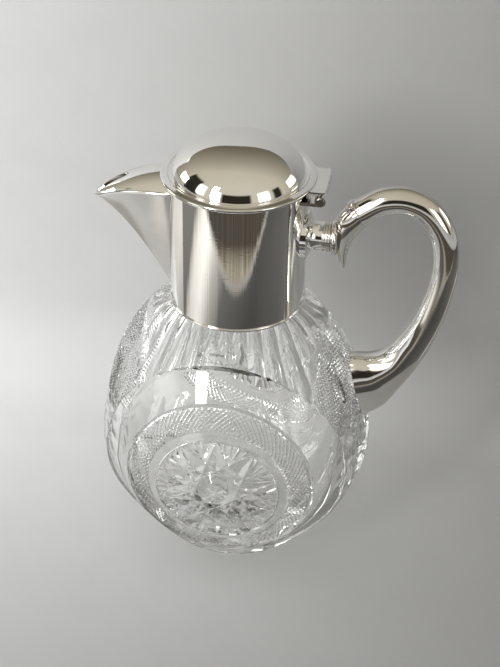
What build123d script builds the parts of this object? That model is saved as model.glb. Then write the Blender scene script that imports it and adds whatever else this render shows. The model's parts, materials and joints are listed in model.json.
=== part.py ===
from build123d import *
from math import asin, atan2, cos, degrees, exp, pi, radians, sin, sqrt
import os

# A claret jug: a flattened globe of cut glass with a plated collar, a covered
# spout, a domed lid on a hinge and a C-shaped handle.
# Millimetres. +Z is up, +X points to the handle, -X to the spout, and the two
# round medallions face -Y and +Y. The origin is the middle of the glass foot.

# ------------------------------------------------------------ driving sizes

# Fits
seat_gap = 0.05             # between curved faces that are soldered or cemented
running_gap = 0.06          # radial play of the hinge pin
lid_gap = 0.3               # between the lid and what it closes on
past = 1.0                  # how far a cut runs past the faces it goes through

# Glass body: half-widths run to the handle, half-depths to the medallions
foot_radius = 24.0
belly_height = 64.0
belly_half_width = 65.6
belly_half_depth = 57.0
shoulder_height = 142.5
shoulder_radius = 31.4
glass_wall = 7.0
glass_floor = 10.0
neck_radius = 28.4
neck_bore_radius, neck_bore_step = 22.0, 0.3    # the belly opens by a small step into the neck
neck_length = 33.5          # above the shoulder, hidden in the collar

# How full the glass outline is below and above the belly
side_foot_power, side_foot_fullness = 2.0, 0.88
side_shoulder_power, side_shoulder_fullness = 2.26, 0.77
face_foot_power, face_foot_fullness = 2.0, 0.56
face_shoulder_power, face_shoulder_fullness = 2.9, 2.78
belly_squareness = 0.55     # added to the ellipse's power of 2 at the belly
squareness_fall_below = 51.0
squareness_fall_above = 18.0

# Medallions: radii round the Y axis, and how far each ring is sunk below the
# full depth of the belly that it was cut from
crown_sunk = 2.0
star_radius, star_sunk = 31.6, 6.0
band_radius, band_sunk = 45.1, 12.8
rim_radius, rim_sunk = 58.0, 24.5
ring_cut_half_width, ring_cut_depth = 0.8, 0.9
star_points = 10
star_stride = 4             # each cut runs from one point to the fourth one on
star_cut_depth = 1.5
star_cut_half_width = 1.9

# Side roundels, on the +X and -X sides of the belly
roundel_radius = 19.0
roundel_stand = 2.0         # of its crown over the belly's side
roundel_edge_sunk = 2.0

# Collar
collar_radius = 31.5
collar_wall = 0.9
collar_top = 204.9
foot_ring_radius = 32.0
foot_ring_height = 1.3
rim_ring_height = 1.4
rim_ring_radius = 32.6
window_half_width = 9.0
window_low, window_high = 178.0, 199.0

# Lid
flange_radius = 35.0
flange_thickness = 1.7
flange_bore = 27.2
flange_edge_drop = 0.9      # the tab is this much thinner than the flange
flange_edge_bevel = 0.4
dome_seat_depth = 0.5       # the dome stands in a shallow recess
dome_seat_margin = 1.2
dome_radius = 30.2
dome_rise = 15.8
dome_skirt = 1.2            # short upright wall under the cap
dome_squareness = 2.3       # superellipse power of the cap
dome_wall = 1.0
bezel_depth = 6.0
bezel_wall = 1.1

# Hinge
hinge_x = 38.0
hinge_drop = 3.9            # axis below the flange
knuckle_radius = 2.5
pin_radius = 1.1
pin_head_radius = 1.7
pin_head_length = 0.6
knuckle_gap = 0.3
tab_half_width = 11.5
tab_overhang = 2.0
tab_corner = 1.4
middle_knuckle_half_length = 4.0
bracket_plate = 1.6
web_thickness = 3.0

# Spout: each line runs from the root to the tip, and its power bends it
spout_root_x = -26.0
spout_tip_x = -67.0
spout_root_half_width, spout_plan_power = 13.7, 0.8
spout_root_height, spout_tip_height, spout_rim_power = 200.3, 188.9, 2.8
spout_keel_tip, spout_keel_drop, spout_keel_power = 188.0, 55.2, 1.5
spout_arch, spout_arch_power = 5.8, 0.8
spout_outside_end, spout_inside_end, spout_wire_end = 0.985, 0.9, 0.97
beak_sheet = 1.1
hood_sheet = 1.0
rim_wire_radius, rim_wire_stand = 0.9, 0.5      # and how far out its middle lies, in radii
spout_seam = 0.12           # height of the edge that the hood springs from
mouth_x = -58.5
mouth_length, mouth_width = 16.5, 5.3

# Handle bracket, turned about a level axis
bracket_height = 179.0
escutcheon_radius = 11.3
escutcheon_end = 39.0
escutcheon_edge = 0.8
flare_share, flare_stand = 0.42, 1.1    # where the flare is, and how far off the stem
stem_radius = 6.4
collet_end = 42.8
collet_radius, collet_groove, collet_beads = 7.3, 0.7, 3
knop_end = 46.0
knop_radius, knop_face_radius = 8.5, 7.2

# Handle: level and height of the middle of each section, the direction the
# handle runs there, and half its height and half its width
handle_sections = [
    (54.8, 192.9, 43, 6.2, 6.2),
    (65.7, 200.1, 18, 6.15, 6.1),
    (73.7, 201.4, 0, 6.15, 6.1),
    (82.3, 198.8, -32, 6.1, 6.1),
    (91.3, 188.3, -65, 5.9, 6.1),
    (95.2, 172.0, -90, 5.85, 6.2),
    (93.4, 152.2, -102, 6.2, 6.5),
    (85.2, 126.2, -112, 7.7, 7.2),
    (78.3, 114.1, -122, 9.2, 8.0),
    (71.0, 106.3, -138, 12.5, 9.0),
    (65.5, 101.5, -149, 16.0, 9.8),
    (57.5, 97.0, -155, 18.0, 10.4),
]
heel_sections = [
    (54.8, 192.9, 43, 6.2, 6.2),
    (51.2, 188.2, 60, 6.2, 6.0),
    (48.5, 180.5, 80, 4.6, 5.0),
    (48.0, 172.0, 91, 2.7, 3.2),
    (48.9, 163.6, 82, 0.9, 1.1),
]
band_width = 2.4
band_stand, band_bite = 0.8, 0.6    # how far the saddle stands out of the handle and sinks in
band_wrap = 1.5                     # how far its ends stop short of the middle

# Lug of glass inside the handle's socket
lug_height = 99.0
lug_stand = 2.9             # past the belly's side
lug_half_height, lug_half_width = 8.5, 4.6
cement_thickness = 1.4

# --------------------------------------------------------- worked-out sizes
neck_top = shoulder_height + neck_length
medallion_crown = belly_half_depth - crown_sunk
star_depth = belly_half_depth - star_sunk
band_depth = belly_half_depth - band_sunk
rim_depth = belly_half_depth - rim_sunk
roundel_crown = belly_half_width + roundel_stand
roundel_edge = belly_half_width - roundel_edge_sunk
collar_bore_radius = collar_radius - collar_wall
rim_ring_top = collar_top + rim_ring_height
flange_base = rim_ring_top + lid_gap
flange_top = flange_base + flange_thickness
dome_base = flange_top - dome_seat_depth
knuckle_reach = knuckle_radius + knuckle_gap
hinge_z = flange_base - hinge_drop

# The bezel swings about the low hinge inside the rim, so it stands in by the
# depth of that swing and clears the rim's top edge all the way up.
rim_reach = hinge_x - collar_bore_radius + lid_gap
bezel_radius = hinge_x - sqrt(rim_reach**2 + (rim_ring_top - hinge_z)**2)
tab_end = hinge_x + tab_overhang
side_knuckle_start = middle_knuckle_half_length + knuckle_gap
lug_end = belly_half_width + lug_stand
lug_root = belly_half_width - 2 * glass_wall
section_points = 24


# ------------------------------------------------------------------ helpers
def outline_at(height, foot, belly, top, low, high, powers):
    """Half-width of the globe at a height: foot, belly and shoulder in one curve."""
    foot_power, foot_fullness, top_power, top_fullness = powers
    if height <= belly_height:
        rise = (height - low) / (belly_height - low)
        return foot + (belly - foot) * (1 - (1 - rise) ** foot_power) ** foot_fullness
    rise = (height - belly_height) / (high - belly_height)
    return top + (belly - top) * (1 - rise ** top_power) ** top_fullness


def globe_section(height, inset, low, high, foot, top):
    """Flat face across the globe: a superellipse, squarest at the belly."""
    side_powers = (side_foot_power, side_foot_fullness, side_shoulder_power, side_shoulder_fullness)
    face_powers = (face_foot_power, face_foot_fullness, face_shoulder_power, face_shoulder_fullness)
    half_width = outline_at(height, foot, belly_half_width - inset, top, low, high, side_powers)
    half_depth = outline_at(height, foot, belly_half_depth - inset, top, low, high, face_powers)
    fall = squareness_fall_below if height < belly_height else squareness_fall_above
    power = 2 + belly_squareness * exp(-(((height - belly_height) / fall) ** 2))
    points = []
    for step in range(section_points):
        angle = 2 * pi * step / section_points
        across = abs(cos(angle)) / half_width
        along = abs(sin(angle)) / half_depth
        reach = (across ** power + along ** power) ** (-1 / power)
        points.append((reach * cos(angle), reach * sin(angle), height))
    return make_face(Spline(*points, periodic=True))


def globe(inset, low, high, foot, top):
    """Globe lofted through level sections, closer together where it curves fast."""
    shares_below = (0, 0.03, 0.1, 0.22, 0.38, 0.58, 0.8)
    shares_above = (0, 0.16, 0.32, 0.48, 0.62, 0.75, 0.86, 0.94, 0.985, 1)
    heights = [low + (belly_height - low) * share for share in shares_below]
    heights += [belly_height + (high - belly_height) * share for share in shares_above]
    sections = [globe_section(height, inset, low, high, foot, top) for height in heights]
    return loft(sections)


def turned(points, axis):
    """Solid turned from a closed outline of points."""
    return revolve(make_face(Polyline(*points, close=True)), axis, 360)


def disc(radius, low, high):
    """Upright cylinder between two heights on the jug's axis."""
    return Pos(0, 0, low) * Cylinder(radius, high - low, align=(Align.CENTER, Align.CENTER, Align.MIN))


def ring(outer, bore, low, high):
    """Upright ring between two heights on the jug's axis."""
    return disc(outer, low, high) - disc(bore, low - past, high + past)


def level_rod(radius, start, end, height):
    """Cylinder along X between two distances from the jug's axis."""
    rod = Cylinder(radius, end - start, align=(Align.CENTER, Align.CENTER, Align.MIN))
    return Pos(start, 0, height) * Rot(0, 90, 0) * rod


def hinge_rod(radius, start, end):
    """Cylinder on the hinge axis between two places along Y."""
    rod = Cylinder(radius, abs(end - start))
    return Pos(hinge_x, (start + end) / 2, hinge_z) * Rot(90, 0, 0) * rod


def section_plane(x, z, direction):
    """Plane across a path in the XZ plane that runs in a direction, in degrees."""
    run = radians(direction)
    return Plane(origin=(x, 0, z), x_dir=(-sin(run), 0, cos(run)), z_dir=(cos(run), 0, sin(run)))


def tapered_bar(sections):
    """Bar lofted through ellipses that stand across its path."""
    faces = []
    for x, z, direction, half_height, half_width in sections:
        faces.append(section_plane(x, z, direction) * Ellipse(half_height, half_width))
    return loft(faces)


# -------------------------------------------------------------- glass body
def ring_cut(radius, depth, slope_inside, slope_outside):
    """Three points of a ring-shaped mitre cut, between faces of two slopes."""
    half = ring_cut_half_width
    inner = (radius - half, depth + half * slope_inside)
    outer = (radius + half, depth - half * slope_outside)
    return [inner, (radius, depth - ring_cut_depth), outer]


def medallion_cutter():
    """What the cutter takes off one face: everything outside a ringed, domed disc."""
    far = medallion_crown + glass_wall
    star_slope = 2 * (medallion_crown - star_depth) / star_radius
    band_slope = (star_depth - band_depth) / (band_radius - star_radius)
    rim_slope = (band_depth - rim_depth) / (rim_radius - band_radius)
    star_cut = ring_cut(star_radius, star_depth, star_slope, band_slope)
    band_cut = ring_cut(band_radius, band_depth, band_slope, rim_slope)
    top = (0, medallion_crown)
    outline = Polyline(*star_cut, *band_cut, (rim_radius, rim_depth), (rim_radius, far), (0, far), top)
    quarter_fall = (medallion_crown - star_depth) / 4
    domed = ThreePointArc(top, (star_radius / 2, medallion_crown - quarter_fall), star_cut[0])
    return Pos(0, 0, belly_height) * revolve(make_face(outline + domed), Axis.Y, 360)


def star_cutters():
    """Mitre cuts that follow the dome from each star point to another, a stride on."""
    rise = medallion_crown - star_depth
    face_curve = (star_radius ** 2 + rise ** 2) / (2 * rise)
    half_turn = star_stride * pi / star_points
    offset = star_radius * cos(half_turn)
    centre_y = medallion_crown - face_curve
    groove_radius = sqrt(face_curve ** 2 - offset ** 2)
    flare = (star_cut_depth + past) * star_cut_half_width / star_cut_depth
    root = (groove_radius - star_cut_depth, offset)
    outer = groove_radius + past
    wedge = make_face(Polyline(root, (outer, offset + flare), (outer, offset - flare), close=True))
    half_sweep = degrees(asin(star_radius * sin(half_turn) / groove_radius))
    groove = revolve(Rot(0, 0, 90 - half_sweep) * Rot(90, 0, 0) * wedge, Axis.Z, 2 * half_sweep)
    turns = [360 * point / star_points for point in range(star_points)]
    return [Pos(0, centre_y, belly_height) * Rot(0, turn, 0) * groove for turn in turns]


def side_roundel():
    """Lens-shaped boss on the handle side of the belly."""
    root = roundel_edge - glass_wall / 2
    outline = Polyline((roundel_edge, roundel_radius), (root, roundel_radius), (root, 0), (roundel_crown, 0))
    crown = ThreePointArc(
        (roundel_crown, 0),
        (roundel_crown - (roundel_crown - roundel_edge) / 4, roundel_radius / 2),
        (roundel_edge, roundel_radius),
    )
    return Pos(0, 0, belly_height) * revolve(make_face(outline + crown), Axis.X, 360)


def handle_lug(growth):
    """Oval stub of glass under the handle's socket, or the space round it."""
    oval = Ellipse(lug_half_height + growth, lug_half_width + growth)
    face = section_plane(lug_root, lug_height, 0) * oval
    return extrude(face, lug_end + growth - lug_root)


def make_glass_body():
    body = globe(0, 0, shoulder_height, foot_radius, shoulder_radius)
    face_cut = medallion_cutter()
    cuts = star_cutters()
    body = body - face_cut - Rot(0, 0, 180) * face_cut
    for cut in cuts:
        body = body - cut - Rot(0, 0, 180) * cut
    roundel = side_roundel()
    body = body + roundel + Rot(0, 0, 180) * roundel + handle_lug(0)
    body = body + disc(neck_radius, shoulder_height - glass_wall, neck_top)
    cavity_top = shoulder_height - glass_wall / 2
    throat_radius = neck_bore_radius + neck_bore_step
    cavity = globe(glass_wall, glass_floor, cavity_top, foot_radius - glass_wall, throat_radius)
    return body - cavity - disc(neck_bore_radius, cavity_top - past, neck_top + past)


# ------------------------------------------------------------------ collar
def make_collar_plaster():
    bore = neck_radius + seat_gap
    outside = collar_bore_radius - seat_gap
    return ring(outside, bore, shoulder_height + foot_ring_height, neck_top - cement_thickness)


def make_collar_foot_ring():
    plain = ring(foot_ring_radius, neck_radius + seat_gap, shoulder_height, shoulder_height + foot_ring_height)
    outer_edges = plain.edges().filter_by(GeomType.CIRCLE).sort_by(SortBy.RADIUS)[-2:]
    return fillet(outer_edges, foot_ring_height * 0.4)


def make_collar_sleeve():
    sleeve = ring(collar_radius, collar_bore_radius, shoulder_height + foot_ring_height, collar_top)
    window_height = window_high - window_low
    cutter = Box(collar_radius, 2 * window_half_width, window_height)
    return sleeve - Pos(-collar_radius, 0, window_low + window_height / 2) * cutter


def make_collar_rim_ring():
    return ring(rim_ring_radius, collar_bore_radius, collar_top, rim_ring_top)


# ------------------------------------------------------------------- spout
def spout_share(x):
    """Share of the way from the root of the spout to its tip."""
    return (x - spout_root_x) / (spout_tip_x - spout_root_x)


def spout_half_width(x):
    """Half-width of the trough at its rim."""
    return spout_root_half_width * (1 - spout_share(x) ** 2) ** spout_plan_power


def spout_rim_height(x):
    """Height of the trough's rim, where the hood springs."""
    return spout_root_height + (spout_tip_height - spout_root_height) * spout_share(x) ** spout_rim_power


def spout_keel_height(x):
    """Height of the sharp keel under the trough."""
    return spout_keel_tip - spout_keel_drop * (1 - spout_share(x)) ** spout_keel_power


def spout_arch_rise(x):
    """How far the crest of the hood stands above the rim."""
    return spout_arch * (1 - spout_share(x)) ** spout_arch_power


def spout_stations(last_share):
    """Places along the spout from its root, closer together towards the tip."""
    steps = 6
    run = (spout_tip_x - spout_root_x) * last_share
    return [spout_root_x + run * sin(pi / 2 * step / steps) for step in range(steps + 1)]


def beak_section(x, sheet, rise):
    """Triangle across the spout, drawn in by a sheet and carried up by a rise."""
    half = spout_half_width(x)
    tall = spout_rim_height(x) - spout_keel_height(x)
    lean = atan2(half, tall)
    keel = spout_keel_height(x) + sheet / sin(lean)
    top = spout_rim_height(x) + rise
    reach = (top - keel) * half / tall
    return make_face(Polyline((x, 0, keel), (x, reach, top), (x, -reach, top), close=True))


def hood_section(x, inset):
    """Low arch over the spout: a chord at the rim and an arc above it."""
    half = spout_half_width(x) - inset
    low = spout_rim_height(x) + (-past if inset else seat_gap)
    crest = spout_rim_height(x) + spout_arch_rise(x) + hood_sheet - inset
    spring = spout_rim_height(x) + spout_seam
    arc = ThreePointArc((x, -half, spring), (x, 0, crest), (x, half, spring))
    base = Polyline((x, half, spring), (x, half, low), (x, -half, low), (x, -half, spring))
    return make_face(arc + base)


def collar_space():
    """Room that the collar takes, with its foot and rim rings."""
    foot_ring_top = shoulder_height + foot_ring_height
    tube = disc(collar_radius + seat_gap, spout_keel_tip - spout_keel_drop, flange_top)
    foot = disc(foot_ring_radius + seat_gap, spout_keel_tip - spout_keel_drop, foot_ring_top + seat_gap)
    rim = disc(rim_ring_radius + seat_gap, collar_top - seat_gap, flange_top)
    return tube + foot + rim


def trough_form():
    return loft([beak_section(x, 0, 0) for x in spout_stations(spout_outside_end)])


def hood_form():
    return loft([hood_section(x, 0) for x in spout_stations(spout_outside_end)])


def make_spout_beak():
    inside = loft([beak_section(x, beak_sheet, 2 * past) for x in spout_stations(spout_inside_end)])
    return trough_form() - inside - collar_space()


def make_spout_hood():
    inside = loft([hood_section(x, hood_sheet) for x in spout_stations(spout_inside_end)])
    mouth = extrude(Pos(mouth_x, 0, 0) * Ellipse(mouth_length / 2, mouth_width / 2), flange_top)
    return hood_form() - inside - mouth - collar_space()


def make_spout_rim_wire(side):
    """Wire soldered over the seam between the trough and its hood, on one side."""
    stand = rim_wire_radius * rim_wire_stand
    points = []
    step = 0.1
    for x in spout_stations(spout_wire_end):
        slope = (spout_half_width(x + step) - spout_half_width(x - step)) / (2 * step)
        square = sqrt(1 + slope ** 2)
        across = spout_half_width(x) + stand / square
        points.append((x - stand * slope / square, side * across, spout_rim_height(x)))
    path = Spline(*points)
    section = Plane(origin=path @ 0, z_dir=path % 0) * Circle(rim_wire_radius)
    return sweep(section, path=path) - trough_form() - hood_form() - collar_space()


# --------------------------------------------------------------------- lid
def make_lid_flange():
    edge_top = flange_top - flange_edge_drop
    recess = dome_radius + dome_seat_margin
    profile = [
        (flange_bore, flange_base),
        (flange_radius - flange_edge_bevel, flange_base),
        (flange_radius, flange_base + flange_edge_bevel),
        (flange_radius, edge_top),
        (flange_radius - flange_edge_bevel, edge_top + flange_edge_bevel),
        (recess + dome_seat_depth, flange_top),
        (recess, dome_base),
        (flange_bore, dome_base),
    ]
    return turned([(radius, 0, height) for radius, height in profile], Axis.Z)


def dome_outline(radius, base, rise):
    """Half outline of a dome: an upright skirt under a squared-off round cap."""
    cap = base + dome_skirt
    points = []
    steps = 8
    for step in range(1, steps):
        angle = pi / 2 * step / steps
        across = radius * cos(angle) ** (2 / dome_squareness)
        above = (rise - dome_skirt) * sin(angle) ** (2 / dome_squareness)
        points.append((across, 0, cap + above))
    wall = Line((radius, 0, base), (radius, 0, cap))
    ends = [(0, 0, 1), (-1, 0, 0)]
    return wall + Spline((radius, 0, cap), *points, (0, 0, base + rise), tangents=ends)


def dome_solid(radius, base, rise):
    outline = dome_outline(radius, base, rise)
    close = Polyline((0, 0, base + rise), (0, 0, base), (radius, 0, base))
    return revolve(make_face(outline + close), Axis.Z, 360)


def make_lid_dome():
    outside = dome_solid(dome_radius, dome_base, dome_rise)
    inside = dome_solid(dome_radius - dome_wall, dome_base, dome_rise - dome_wall)
    return outside - inside


def make_lid_bezel():
    return ring(bezel_radius, bezel_radius - bezel_wall, flange_base - bezel_depth, flange_base)


def make_lid_hinge_leaf():
    """Tab that carries on from the flange, with the middle knuckle under it."""
    thickness = flange_thickness - flange_edge_drop
    tab = Pos(tab_end / 2, 0, flange_base + thickness / 2) * Box(tab_end, 2 * tab_half_width, thickness)
    corners = tab.edges().filter_by(Axis.Z).group_by(Axis.X)[-1]
    tab = fillet(corners, tab_corner)
    knuckle = hinge_rod(knuckle_radius, -middle_knuckle_half_length, middle_knuckle_half_length)
    web = Box(web_thickness, 2 * middle_knuckle_half_length, hinge_drop)
    web = Pos(hinge_x, 0, hinge_z + hinge_drop / 2) * web
    leaf = tab + knuckle + web - hinge_rod(pin_radius + running_gap, -tab_half_width, tab_half_width)
    return leaf - disc(flange_radius + seat_gap, flange_base - past, flange_top + past)


def make_collar_hinge_leaf():
    """Bracket on the collar that ends in the two outer knuckles."""
    plate_low = hinge_z - knuckle_radius
    leaf = Pos(hinge_x / 2, 0, plate_low + bracket_plate / 2) * Box(hinge_x, 2 * tab_half_width, bracket_plate)
    for side in (-1, 1):
        leaf = leaf + hinge_rod(knuckle_radius, side * side_knuckle_start, side * tab_half_width)
    room = 2 * side_knuckle_start
    leaf = leaf - Pos(hinge_x, 0, hinge_z) * Box(2 * knuckle_reach, room, 2 * knuckle_reach)
    leaf = leaf - hinge_rod(pin_radius + running_gap, -tab_half_width - past, tab_half_width + past)
    return leaf - disc(collar_radius + seat_gap, plate_low - past, hinge_z + knuckle_radius)


def make_hinge_pin():
    head_gap = running_gap / 2
    pin = hinge_rod(pin_radius, -tab_half_width - head_gap, tab_half_width + head_gap)
    for side in (-1, 1):
        start = side * (tab_half_width + head_gap)
        pin = pin + hinge_rod(pin_head_radius, start, start + side * pin_head_length)
    return pin


# ---------------------------------------------------------- handle bracket
def bracket_part(profile):
    """Solid turned about the bracket's level axis from distances and radii."""
    points = [(x, 0, radius) for x, radius in profile]
    return Pos(0, 0, bracket_height) * turned(points, Axis.X)


def make_handle_escutcheon():
    reach = escutcheon_end - collar_radius
    edge = (collar_radius + escutcheon_edge, 0, escutcheon_radius)
    flare = (collar_radius + reach * flare_share, 0, stem_radius + flare_stand)
    stem = (escutcheon_end, 0, stem_radius)
    outline = Polyline(stem, (escutcheon_end, 0, 0), (0, 0, 0), (0, 0, escutcheon_radius), edge)
    foot = revolve(make_face(outline + Spline(edge, flare, stem)), Axis.X, 360)
    low = bracket_height - escutcheon_radius - past
    high = bracket_height + escutcheon_radius + past
    return Pos(0, 0, bracket_height) * foot - disc(collar_radius + seat_gap, low, high)


def make_handle_collet():
    width = (collet_end - escutcheon_end) / collet_beads
    profile = [(escutcheon_end, 0), (escutcheon_end, collet_radius - collet_groove)]
    for bead in range(collet_beads):
        start = escutcheon_end + width * bead
        profile.append((start + width / 4, collet_radius))
        profile.append((start + width * 3 / 4, collet_radius))
        profile.append((start + width, collet_radius - collet_groove))
    profile.append((collet_end, 0))
    return bracket_part(profile)


def make_handle_knop():
    middle = (collet_end + knop_end) / 2
    near, far = (collet_end, 0, knop_face_radius), (knop_end, 0, knop_face_radius)
    outline = Polyline(far, (knop_end, 0, 0), (collet_end, 0, 0), near)
    bulge = ThreePointArc(near, (middle, 0, knop_radius), far)
    return Pos(0, 0, bracket_height) * revolve(make_face(outline + bulge), Axis.X, 360)


# ------------------------------------------------------------------ handle
def band_solid(growth):
    """Saddle across the outer side of the handle, where it leaves the scroll."""
    x, z, direction, half_height, half_width = handle_sections[0]
    plane = section_plane(x, z, direction)
    wide = Ellipse(half_height + band_stand + growth, half_width + band_stand + growth)
    slab = extrude(plane * wide, band_width / 2 + growth, both=True)
    outer_half = Pos(half_height + band_wrap, 0, 0) * Box(2 * half_height, 4 * half_width, 4 * band_width)
    return slab & (plane * outer_half)


def make_handle_band():
    x, z, direction, half_height, half_width = handle_sections[0]
    core = section_plane(x, z, direction) * Ellipse(half_height - band_bite, half_width - band_bite)
    return band_solid(0) - extrude(core, band_width, both=True)


def make_handle_heel():
    knop_room = level_rod(knop_radius + seat_gap, collar_radius, knop_end, bracket_height)
    return tapered_bar(heel_sections) - knop_room - band_solid(seat_gap)


def socket_space():
    """Pocket in the foot of the handle for the lug and its cement."""
    return handle_lug(cement_thickness)


def make_handle_arm():
    bar = tapered_bar(handle_sections)
    glass_room = globe(-seat_gap, 0, shoulder_height, foot_radius, shoulder_radius)
    return bar - glass_room - socket_space() - band_solid(seat_gap) - side_roundel()


def make_handle_plaster():
    glass_room = globe(-seat_gap, 0, shoulder_height, foot_radius, shoulder_radius)
    return handle_lug(cement_thickness - seat_gap) - handle_lug(seat_gap) - glass_room


# ------------------------------------------------------------------- build
pieces = {
    "glass_body": make_glass_body(),
    "collar_plaster": make_collar_plaster(),
    "collar_sleeve": make_collar_sleeve(),
    "collar_foot_ring": make_collar_foot_ring(),
    "collar_rim_ring": make_collar_rim_ring(),
    "spout_beak": make_spout_beak(),
    "spout_hood": make_spout_hood(),
    "spout_rim_wire_front": make_spout_rim_wire(-1),
    "spout_rim_wire_back": make_spout_rim_wire(1),
    "lid_dome": make_lid_dome(),
    "lid_flange": make_lid_flange(),
    "lid_bezel": make_lid_bezel(),
    "lid_hinge_leaf": make_lid_hinge_leaf(),
    "collar_hinge_leaf": make_collar_hinge_leaf(),
    "hinge_pin": make_hinge_pin(),
    "handle_escutcheon": make_handle_escutcheon(),
    "handle_collet": make_handle_collet(),
    "handle_knop": make_handle_knop(),
    "handle_heel": make_handle_heel(),
    "handle_band": make_handle_band(),
    "handle_arm": make_handle_arm(),
    "handle_plaster": make_handle_plaster(),
}

os.makedirs("parts", exist_ok=True)
for name, piece in pieces.items():
    export_step(piece, f"parts/{name}.step")
    print(name, round(piece.volume, 1))
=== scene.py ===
# %% [markdown]
# A claret jug is a squat globe of hand-cut lead crystal with a silver-plated
# mount cemented to its neck: a plain collar, a covered spout, a domed lid on a
# knuckle hinge and a heavy C-shaped handle. The frame holds every solid at its
# real place, so each surface is worked out in millimetres from the sizes of
# the solid that it stands for, scaled to metres, and needs no fitting.

# %% Load the frame
import json
import math

import bpy
import numpy as np
from mathutils import Matrix, Vector

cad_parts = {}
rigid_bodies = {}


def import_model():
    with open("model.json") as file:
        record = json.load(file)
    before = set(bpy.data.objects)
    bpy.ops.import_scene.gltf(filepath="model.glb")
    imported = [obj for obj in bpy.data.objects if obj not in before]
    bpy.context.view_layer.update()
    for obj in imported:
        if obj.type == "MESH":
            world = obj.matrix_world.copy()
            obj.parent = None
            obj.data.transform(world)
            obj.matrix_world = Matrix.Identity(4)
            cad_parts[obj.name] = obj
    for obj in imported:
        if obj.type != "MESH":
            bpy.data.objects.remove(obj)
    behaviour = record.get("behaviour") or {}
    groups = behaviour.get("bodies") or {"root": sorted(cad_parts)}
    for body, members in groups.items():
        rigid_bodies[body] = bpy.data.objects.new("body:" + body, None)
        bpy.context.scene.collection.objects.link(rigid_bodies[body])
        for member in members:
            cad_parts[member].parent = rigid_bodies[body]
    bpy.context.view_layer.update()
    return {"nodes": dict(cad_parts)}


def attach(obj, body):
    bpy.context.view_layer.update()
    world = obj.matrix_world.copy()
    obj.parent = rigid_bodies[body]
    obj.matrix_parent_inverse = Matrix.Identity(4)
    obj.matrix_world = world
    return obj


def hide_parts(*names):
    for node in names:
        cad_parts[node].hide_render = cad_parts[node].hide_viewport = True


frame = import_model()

nodes = frame["nodes"]
print("solids in the frame:", len(nodes))

# %% [markdown]
# The camera stands a little above the jug and looks down on it by 36 degrees,
# with the spout to the left and the handle to the right. A long lens keeps the
# verticals nearly parallel. It is placed by a point in the air and the point
# of the jug's axis that it looks at, which is easier to read than angles.

# %% Camera
camera_place, camera_aim = (0.0870, -0.4940, 0.4809), (0.0063, 0.0, 0.1200)
camera_roll = math.radians(1.0408)
camera_lens = 68.955


def looking(place, aim):
    """The matrix of something that stands at a place and looks at an aim, with its top up."""
    place, aim = Vector(place), Vector(aim)
    return Matrix.Translation(place) @ (aim - place).to_track_quat("-Z", "Y").to_matrix().to_4x4()


lens = bpy.data.cameras.new("camera")
lens.lens = camera_lens
lens.clip_start = 0.01
camera = bpy.data.objects.new("camera", lens)
camera.matrix_world = looking(camera_place, camera_aim) @ Matrix.Rotation(camera_roll, 4, "Z")
bpy.context.scene.collection.objects.link(camera)
bpy.context.scene.camera = camera
look_down = (Vector(camera_place) - Vector(camera_aim)).normalized().z
print("camera looks down by", round(math.degrees(math.asin(look_down)), 1))

# %% [markdown]
# Nearly every surface here is a grid: a function of two parameters gives the
# points, and the faces join neighbours. It could be modelled by hand as well,
# but a formula keeps every piece at the size that it has on the real jug.

# %% Grid helper
def grid_corners(rows, columns, around):
    """The numbers of the four corners of every field; around joins the last column to the first."""
    index = np.arange(rows * columns).reshape(rows, columns)
    if around:
        index = np.concatenate([index, index[:, :1]], axis=1)
    return index[:-1, :-1], index[:-1, 1:], index[1:, 1:], index[1:, :-1]


def grid_faces(rows, columns, around):
    """Quads between neighbouring points of a grid."""
    return np.stack(grid_corners(rows, columns, around), -1).reshape(-1, 4)


def points_of(x, y, z):
    """Points from their coordinates; each is an array or a plain number."""
    return np.stack(np.broadcast_arrays(x, y, z), -1)


def upright(reach, angle, height):
    """Points at a distance and an angle round the upright axis."""
    return points_of(reach * np.cos(angle), reach * np.sin(angle), height)


def full_circle(count):
    """Angles of `count` even steps round a circle."""
    return np.linspace(0, 2 * math.pi, count, endpoint=False)


def mesh_piece(name, points, faces):
    """Makes a smooth object from points and faces."""
    mesh = bpy.data.meshes.new(name)
    mesh.from_pydata(points.reshape(-1, 3), [], [tuple(f) for f in faces.tolist()])
    mesh.validate()
    mesh.shade_smooth()
    piece = bpy.data.objects.new(name, mesh)
    bpy.context.scene.collection.objects.link(piece)
    return piece


print("faces of an open and a closed grid of 3 by 4:", *(len(grid_faces(3, 4, closed)) for closed in (0, 1)))

# %% [markdown]
# A material is a tree of nodes. Each of these helpers adds one kind of node
# and gives back what it puts out, so a recipe below reads from top to bottom
# like a sum. Where one takes a socket, it takes a plain value as well.

# %% Node helpers
def fill(tree, node, inputs):
    """Gives inputs of a node what they need: a socket is linked, a plain value is set."""
    for name, value in inputs.items():
        if isinstance(value, bpy.types.NodeSocket):
            tree.links.new(value, node.inputs[name])
        else:
            node.inputs[name].default_value = value


def put(tree, kind, inputs=None, **settings):
    """Adds a node of a kind and gives back its outputs."""
    node = tree.nodes.new("ShaderNode" + kind)
    for name, value in settings.items():
        setattr(node, name, value)
    fill(tree, node, inputs or {})
    return node.outputs


def new_material(name):
    """A material with a Principled shader and its output; returns it, its tree and the shader."""
    material = bpy.data.materials.new(name)
    material.use_nodes = True
    tree = material.node_tree
    tree.nodes.clear()
    shader = tree.nodes.new("ShaderNodeBsdfPrincipled")
    put(tree, "OutputMaterial", {"Surface": shader.outputs["BSDF"]})
    return material, tree, shader


def arithmetic(tree, operation, first, second):
    """One sum with two values."""
    return put(tree, "Math", {0: first, 1: second}, operation=operation)[0]


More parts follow.
